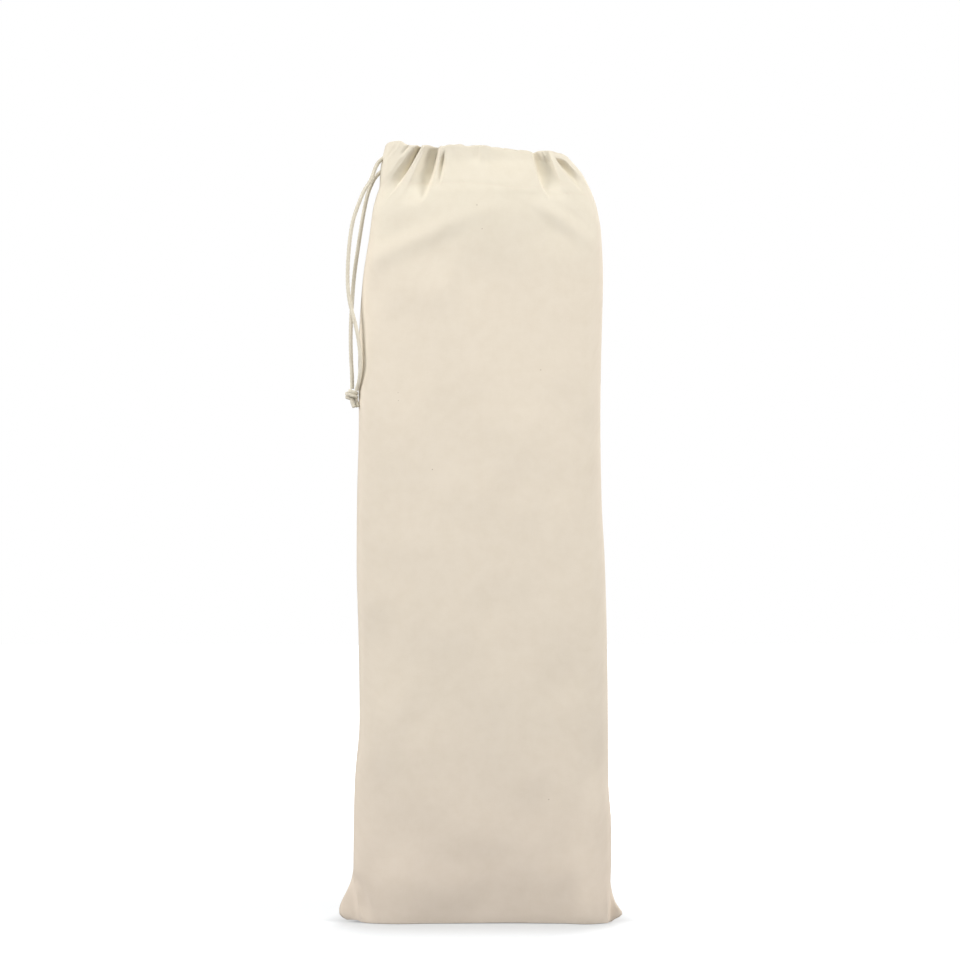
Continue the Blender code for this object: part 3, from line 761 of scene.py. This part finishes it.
def curve_points(route):
    """Evenly spaced points along a smooth curve through the route's own points."""
    route = np.asarray(route, float)
    lengths = arc_lengths(route)
    fine = np.linspace(0, lengths[-1], CURVE_STEPS)
    ends = np.vstack((2 * route[0] - route[1], route, 2 * route[-1] - route[-2]))
    span = np.clip(np.searchsorted(lengths, fine, side="right") - 1, 0, len(route) - 2)
    part = ((fine - lengths[span]) / (lengths[span + 1] - lengths[span]))[:, None]
    a, b, c, d = (ends[span + i] for i in range(4))
    bend, twist = 2 * a - 5 * b + 4 * c - d, 3 * b - a - 3 * c + d
    curve = 0.5 * (2 * b + (c - a) * part + bend * part**2 + twist * part**3)
    along = arc_lengths(curve)
    at = np.linspace(0, along[-1], round(along[-1] / BRAID_STEP) + 1)
    return along_line(at, along, curve)


def braided_tube(shape, layer, points):
    """A closed braided tube along the points; its two ends are filled."""
    points = [Vector(point) for point in points]
    across = (points[1] - points[0]).orthogonal().normalized()
    rings, run = [], 0.0
    for i, point in enumerate(points):
        along = (points[min(i + 1, len(points) - 1)] - points[max(i - 1, 0)]).normalized()
        across = (across - along * across.dot(along)).normalized()
        other = along.cross(across)
        if i:
            run += (point - points[i - 1]).length
        wind = 2 * math.pi * run / BRAID_PITCH
        ring = []
        for j in range(BRAID_SIDES):
            angle = 2 * math.pi * j / BRAID_SIDES
            lump = math.cos(BRAID_STRANDS * angle + wind) * math.cos(BRAID_STRANDS * angle - wind)
            reach = CORD / 2 + BRAID_RELIEF * (lump - 0.5)
            place = point + reach * (math.cos(angle) * across + math.sin(angle) * other)
            vert = shape.verts.new(place * MM)
            vert[layer] = Vector((angle * CORD / 2, run, CORD_LAYER))
            ring.append(vert)
        rings.append(ring)
    close_tube(shape, rings)


def make_strand(name, route):
    """A strand of the drawstring, led a few millimetres into the hem it comes out of."""
    shape, layer = new_shape()
    first, second = np.array(route[:2])
    inward = (first - second) / np.linalg.norm(first - second) + LEAD_TURN
    lead = first + LEAD_IN * inward / np.linalg.norm(inward)
    points = curve_points((lead, *route))
    braided_tube(shape, layer, points)
    return finish_mesh(name, shape), points


def knot_winding():
    """The middle line of the cord wound round the knot, its two ends led into the knot's middle."""
    places = []
    for part in np.linspace(0, 1, KNOT_STEPS):
        angle = math.radians(KNOT_START) + 2 * math.pi * KNOT_TURNS * part
        out = fade(min(part, 1 - part), *KNOT_END_FADE)
        across = KNOT_REACH[0] * out * math.cos(angle)
        x, y, z = KNOT_TOP
        drop = KNOT_PITCH * KNOT_TURNS * part + KNOT_LEAN * across
        places.append((x + across, y + KNOT_REACH[1] * out * math.sin(angle), z - drop))
    return places


def make_knot():
    """The overhand knot and the cord's two cut ends."""
    shape, layer = new_shape()
    braided_tube(shape, layer, knot_winding())
    for route in TAIL_ROUTES:
        braided_tube(shape, layer, curve_points(route))
    return finish_mesh("cord_knot_tied", shape)


# ---- Materials ----

CLOTH_COLOURS_WITH_PAINTED_LIGHT = (
    # height up the cloth, colour, and the deeper colour of its darker tones and of the weave's painted shade
    # Towards the base the colours are warmer and a little darker, and towards the rim cooler: painted light,
    # for the dimmer, warmer light low down and the brighter, cooler light at the top.
    (0, (0.80, 0.709, 0.60), (0.745, 0.65, 0.534)),
    (240, (0.80, 0.727, 0.612), (0.745, 0.667, 0.545)),
    (570, (0.80, 0.728, 0.612), (0.745, 0.668, 0.545)),
    (680, (0.79, 0.736, 0.616), (0.736, 0.675, 0.549)),
)
CORD_COLOURS = ((0, (0.73, 0.69, 0.58), (0.60, 0.55, 0.44)),)
SEED_COLOUR = (0.33, 0.25, 0.17)
SURFACE = {"Roughness": 0.9, "Specular IOR Level": 0.18, "Sheen Weight": 0.1, "Sheen Roughness": 0.5}
THREAD_PITCH = 0.48
WANDER = (0.35, 3.0, 0.5)  # scale, detail and reach of the threads' wandering
CROSSING = 0.4  # how softly warp and weft change places
WEAVE_PAINTED_SHADE = (0.6, -0.25)  # the weave's mean height, and its share in the shade: its low places take more of the deeper colour, a painted shade between the threads
TONES = (
    # stretch across and up the cloth, scale, detail, roughness, share in the shade
    (0.16, 1.5, 1.0, 3.0, 0.6, 0.45),  # thick and thin weft threads
    (1.6, 0.05, 1.0, 2.0, 0.6, 0.25),  # thick and thin warp threads
    (1.0, 1.0, 0.09, 3.0, 0.55, 1.1),  # blotches
    (1.0, 1.0, 0.018, 2.0, 0.5, 0.5),  # broad changes
)
SHADE_MIDDLE = 0.22  # the share of the deeper colour where all tones are at their mean
SLUB_RELIEF = 0.8  # how much the thick weft threads stand out, in heights of the weave
WEAVE_RELIEF = (0.00007, 0.8)  # metres, and strength
SEED_CELL = 27.0  # the scattered flecks' distance
SEED_RARITY = 4.0  # the higher, the fewer of them are large
SEED_MOST = 0.5  # half size of the largest
SEED_GRAIN = (2.5, 0.3, 0.7)  # scale and range of the noise that makes flecks ragged
SEED_RAGGED = (0.6, 1.3)  # a scattered fleck's size, as shares
SEED_EDGE = 0.6  # the share of its half size over which its edge fades
SEED_DARK = (0.75, 0.65)  # how dark the scattered and the placed flecks are
PLACED_RAGGED = (-0.2, 0.25)  # how far the edge of a placed fleck strays
PLACED_EDGE = (1.3, 0.4)  # where it fades, in half sizes
SEEDS = (
    # x, height, half size of the darkest seed flecks on the front
    (-3.6, 636.3, 0.62), (0.9, 615.4, 0.5), (-43, 403, 0.6), (52.8, 491, 0.55),
    (59.9, 111, 0.6), (-73.4, 471, 0.45), (-73, 464, 0.42),
)


class Nodes:
    """The nodes of a new material or world, with short calls for the kinds used here."""

    def __init__(self, owner, shader):
        owner.use_nodes = True
        self.owner = owner
        self.tree = owner.node_tree
        self.shader = self.tree.nodes[shader]

    def link(self, value, socket):
        if isinstance(value, bpy.types.NodeSocket):
            self.tree.links.new(value, socket)
        else:
            socket.default_value = value

    def node(self, kind, output=0, inputs=(), **settings):
        node = self.tree.nodes.new(kind)
        for name, value in settings.items():
            setattr(node, name, value)
        for name, value in dict(inputs).items():
            self.link(value, node.inputs[name])
        return node.outputs[output]

    def math(self, operation, a, b=0.0, clamp=False):
        return self.node("ShaderNodeMath", operation=operation, use_clamp=clamp, inputs={0: a, 1: b})

    def vector(self, operation, a, b=(0, 0, 0)):
        output = "Value" if operation == "LENGTH" else 0
        return self.node("ShaderNodeVectorMath", output, operation=operation, inputs={0: a, 1: b})

    def noise(self, vector, scale, detail=2.0, roughness=0.5):
        inputs = {"Vector": vector, "Scale": scale, "Detail": detail, "Roughness": roughness}
        return self.node("ShaderNodeTexNoise", "Fac", inputs)

    def ramp(self, value, low, high, to_low=0.0, to_high=1.0):
        inputs = {"Value": value, "From Min": low, "From Max": high, "To Min": to_low, "To Max": to_high}
        return self.node("ShaderNodeMapRange", 0, inputs, interpolation_type="SMOOTHSTEP")

    def mix(self, share, a, b):
        return self.node("ShaderNodeMix", "Result", {"Factor": share, "A": a, "B": b}, data_type="RGBA")


def material_nodes(name):
    return Nodes(bpy.data.materials.new(name), "Principled BSDF")


def weave_height(n, across, up):
    """The relief of plain weave: warp and weft threads that pass over and under each other."""
    warp, weft = (n.math("SINE", n.math("MULTIPLY", place, math.pi / THREAD_PITCH)) for place in (across, up))
    over = n.math("MULTIPLY", warp, weft)
    warp_high = n.math("MULTIPLY", n.math("ABSOLUTE", warp), n.ramp(over, -CROSSING, CROSSING))
    weft_high = n.math("MULTIPLY", n.math("ABSOLUTE", weft), n.ramp(over, CROSSING, -CROSSING))
    return n.math("MAXIMUM", warp_high, weft_high)


def scattered_seeds(n, flat):
    """How much of a seed fleck shows: one in each cell of a net, of its own size and ragged."""
    net = n.vector("MULTIPLY", flat, (1 / SEED_CELL, 1 / SEED_CELL, 1.0))
    distance = n.node("ShaderNodeTexVoronoi", "Distance", {"Vector": net, "Scale": 1.0})
    pick = n.node("ShaderNodeSeparateColor", 0, {0: distance.node.outputs["Color"]})
    size = n.math("MULTIPLY", n.math("POWER", pick, SEED_RARITY), SEED_MOST / SEED_CELL)
    grain, low, high = SEED_GRAIN
    size = n.math("MULTIPLY", size, n.ramp(n.noise(flat, grain), low, high, *SEED_RAGGED))
    seed = n.math("SUBTRACT", 1.0, n.math("DIVIDE", distance, size))
    return n.ramp(seed, 0.0, SEED_EDGE, 0.0, SEED_DARK[0])


def placed_seeds(n, flat, seed):
    """Adds the listed flecks on the front."""
    place = n.node("ShaderNodeNewGeometry", "Position")
    on_front = n.math("LESS_THAN", n.node("ShaderNodeSeparateXYZ", 1, {0: place}), 0.0)
    grain, low, high = SEED_GRAIN
    ragged = n.ramp(n.noise(flat, grain), low, high, *PLACED_RAGGED)
    for x, height, half in SEEDS:
        spot = n.vector("SUBTRACT", place, (x * MM, 0, height * MM))
        spot = n.vector("MULTIPLY", spot, (1 / MM, 0, 1 / MM))
        away = n.math("ADD", n.vector("LENGTH", spot), ragged)
        dark = n.ramp(away, *(half * share for share in PLACED_EDGE), 0.0, SEED_DARK[1])
        seed = n.math("MAXIMUM", seed, n.math("MULTIPLY", dark, on_front))
    return seed


def woven(name, colours, seeds):
    """Natural cotton: plain weave of uneven threads with painted shade in its low places, faint blotches and,
    where asked, dark seed flecks. Where the colours change with height, that change is painted light.
    """
    n = material_nodes(name)
    flat = n.node("ShaderNodeAttribute", "Vector", attribute_name="flat_cloth")
    scale, detail, reach = WANDER
    wander = n.node("ShaderNodeTexNoise", "Color", {"Vector": flat, "Scale": scale, "Detail": detail})
    wander = n.vector("MULTIPLY", n.vector("SUBTRACT", wander, (0.5, 0.5, 0.5)), (reach, reach, 0.0))
    bent = n.vector("ADD", flat, wander)
    across, up = (n.node("ShaderNodeSeparateXYZ", i, {0: bent}) for i in (0, 1))
    weave = weave_height(n, across, up)
    shade, tones = SHADE_MIDDLE, []
    for stretch_across, stretch_up, scale, detail, roughness, share in TONES:
        stretched = n.vector("MULTIPLY", flat, (stretch_across, stretch_up, 1.0))
        tones.append(n.noise(stretched, scale, detail, roughness))
        shade = n.math("ADD", shade, n.math("MULTIPLY", n.math("SUBTRACT", tones[-1], 0.5), share))
    # Painted shade: where the weave is low, between the threads, the colour leans to the deeper one.
    mean, share = WEAVE_PAINTED_SHADE
    shade = n.math("ADD", shade, n.math("MULTIPLY", n.math("SUBTRACT", weave, mean), share), clamp=True)
    base = n.mix(shade, *((*colour, 1) for colour in colours[0][1:]))
    # Painted light: the colours change with height up the cloth, warmer and darker low down and cooler near
    # the rim.
    for (low, *_), (high, *pair) in zip(colours, colours[1:]):
        base = n.mix(n.ramp(up, low, high), base, n.mix(shade, *((*colour, 1) for colour in pair)))
    if seeds:
        base = n.mix(placed_seeds(n, flat, scattered_seeds(n, flat)), base, (*SEED_COLOUR, 1))
    n.link(base, n.shader.inputs["Base Color"])
    distance, strength = WEAVE_RELIEF
    height = n.math("ADD", weave, n.math("MULTIPLY", tones[0], SLUB_RELIEF))
    bump = n.node("ShaderNodeBump", 0, {"Height": height, "Distance": distance, "Strength": strength})
    n.link(bump, n.shader.inputs["Normal"])
    for socket, value in SURFACE.items():
        n.shader.inputs[socket].default_value = value
    return n.owner


# ---- Floor, light and camera, in metres ----

PICTURE = 0.8592  # across the picture, in the bag's own plane
DISTANCE = 2.4
CAMERA_HEIGHT = 0.3937
CAMERA_X = -0.0009
SENSOR = 36.0  # millimetres
LIGHTS = (
    # name, place, target, size, power, colour
    ("left softbox", (-1.8, -0.9, 0.78), (0, 0, 0.4), (0.8, 1.0), 27.0, (1.0, 0.978, 0.978)),
    ("right softbox", (1.8, -0.9, 0.88), (0, 0, 0.4), (0.8, 1.0), 27.0, (1.0, 0.978, 0.978)),
    ("front softbox", (-0.1, -2.0, 1.3), (0, 0, 0.4), (0.8, 0.8), 3.5, (1.0, 0.98, 0.97)),
    ("top softbox", (-0.05, -0.55, 1.45), (0, 0, 0.6), (0.7, 0.5), 3.4, (0.95, 1.0, 0.97)),
    ("back softbox", (1.1, 2.1, 1.1), (0, 0, 0.4), (1.2, 1.0), 34.0, (1.0, 0.98, 0.965)),
)
FLOOR_GREY = (0.05, 0.5)  # as the bag is lit by it, and as it looks
FLOOR_BOUNCE = 0.17  # the light it gives back to the bag
FLOOR_GLOW_AND_PAINTED_SHADOW = (0.25, 0.53, 1.0)  # how bright its own glow looks under the bag, beside it and far away; the dimmer glow under the bag is a painted shadow
FLOOR_PAINTED_SHADOW = (0.146, 0.110)  # how far to the side and to the front the painted shadow round the bag reaches
FLOOR_PAINTED_SHADOW_POWER = 6.0  # how sharply that ends at the sides
FLOOR_PAINTED_SHADOW_FADE = (0.19, 0.98)  # the shares of that distance over which the painted shadow ends
FLOOR_TINT = (0.955, 0.98, 1.0)  # a cool white, as the bag itself warms it
FLOOR_NEAR = (0.2, 0.9)  # distances from the bag over which beside turns into far away
FLOOR_HALF = 4.0
FLOOR_DROP = 0.0003  # the floor lies this far below the bag's underside
FLOOR_ROUGHNESS = 0.8
SURROUND_TINT = (1.0, 0.95, 0.915)
SURROUND = 0.40  # how brightly the white room lights the bag, as a share of how it looks


def make_camera():
    """The camera, level and square on."""
    data = bpy.data.cameras.new("camera")
    data.sensor_width = SENSOR
    data.lens = SENSOR * DISTANCE / PICTURE
    camera = add_object("camera", data)
    camera.location = (CAMERA_X, -DISTANCE, CAMERA_HEIGHT)
    camera.rotation_euler = (math.pi / 2, 0, 0)
    bpy.context.scene.camera = camera


def make_floor():
    """A white floor, with a soft dark line under the bag: partly real shadow on its lit part, and partly
    painted shadow, as its own glow is dimmed there.
    """
    mesh = bpy.data.meshes.new("floor")
    corners = [(x * FLOOR_HALF, y * FLOOR_HALF, 0) for x, y in ((-1, -1), (1, -1), (1, 1), (-1, 1))]
    mesh.from_pydata(corners, [], [(0, 1, 2, 3)])
    floor = add_object("floor", mesh)
    n = material_nodes("floor white with painted shadow")
    n.shader.inputs["Roughness"].default_value = FLOOR_ROUGHNESS
    n.shader.inputs["Emission Color"].default_value = (*FLOOR_TINT, 1)
    seen = n.node("ShaderNodeLightPath", "Is Camera Ray")
    lit, looks = FLOOR_GREY
    looks = (*(looks * share for share in FLOOR_TINT), 1)
    n.link(n.mix(seen, (lit, lit, lit, 1), looks), n.shader.inputs["Base Color"])
    # Painted shadow: the floor's glow is dimmed under and in front of the bag, by distance from it.
    place = n.node("ShaderNodeNewGeometry", "Position")
    across, ahead = (n.math("ABSOLUTE", n.node("ShaderNodeSeparateXYZ", i, {0: place})) for i in (0, 1))
    across = n.math("POWER", n.math("DIVIDE", across, FLOOR_PAINTED_SHADOW[0]), FLOOR_PAINTED_SHADOW_POWER)
    near = n.math("ADD", across, n.math("DIVIDE", ahead, FLOOR_PAINTED_SHADOW[1]))
    under, beside, far = FLOOR_GLOW_AND_PAINTED_SHADOW
    glow = n.ramp(near, *FLOOR_PAINTED_SHADOW_FADE, under, beside)
    glow = n.math("ADD", glow, n.ramp(n.vector("LENGTH", place), *FLOOR_NEAR, 0.0, far - beside))
    glow = n.math("MULTIPLY", n.math("SUBTRACT", glow, FLOOR_BOUNCE), seen)
    n.link(n.math("ADD", glow, FLOOR_BOUNCE), n.shader.inputs["Emission Strength"])
    mesh.materials.append(n.owner)
    floor.location.z = -FLOOR_DROP


def make_light():
    """A white room, dimmer as light than as seen, and soft boxes."""
    n = Nodes(bpy.data.worlds.new("studio"), "Background")
    bpy.context.scene.world = n.owner
    seen = n.node("ShaderNodeLightPath", "Is Camera Ray")
    n.link(n.mix(seen, (*SURROUND_TINT, 1), (1, 1, 1, 1)), n.shader.inputs["Color"])
    strength = n.node("ShaderNodeMapRange", 0, {"Value": seen, "To Min": SURROUND})
    n.link(strength, n.shader.inputs["Strength"])
    for name, place, target, size, power, colour in LIGHTS:
        data = bpy.data.lights.new(name, "AREA")
        data.shape = "RECTANGLE"
        data.size, data.size_y = size
        data.energy = power
        data.color = colour
        light = add_object(name, data)
        light.location = place
        light.rotation_euler = (Vector(target) - Vector(place)).to_track_quat("-Z", "Y").to_euler()


# ---- The scene ----

bpy.context.scene.view_settings.view_transform = "Standard"
make_camera()
make_floor()
make_light()

cloth_material = woven("natural cotton cloth", CLOTH_COLOURS_WITH_PAINTED_LIGHT, seeds=True)
cord_material = woven("natural cotton cord", CORD_COLOURS, seeds=False)


def dress(piece, material, slot, *nodes):
    """Gives a piece its material, and puts it in its CAD nodes' place. The slot is not used."""
    piece.data.materials.append(material)
    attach(piece, "root")
    if nodes:
        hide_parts(*nodes)


knot = make_knot()
dress(knot, cord_material, "cotton_cord", "cord_knot")

for name, node, route, extra in (
    ("cord_strand_upper_braided", "cord_strand_upper", UPPER_ROUTE, [knot]),
    ("cord_strand_lower_braided", "cord_strand_lower", LOWER_ROUTE, []),
):
    strand, line = make_strand(name, route)
    dress(strand, cord_material, "cotton_cord", node)

stitches = make_stitches()
dress(stitches, cloth_material, "cotton_cloth")
cloth = make_cloth()
dress(cloth, cloth_material, "cotton_cloth", "bag_cloth")
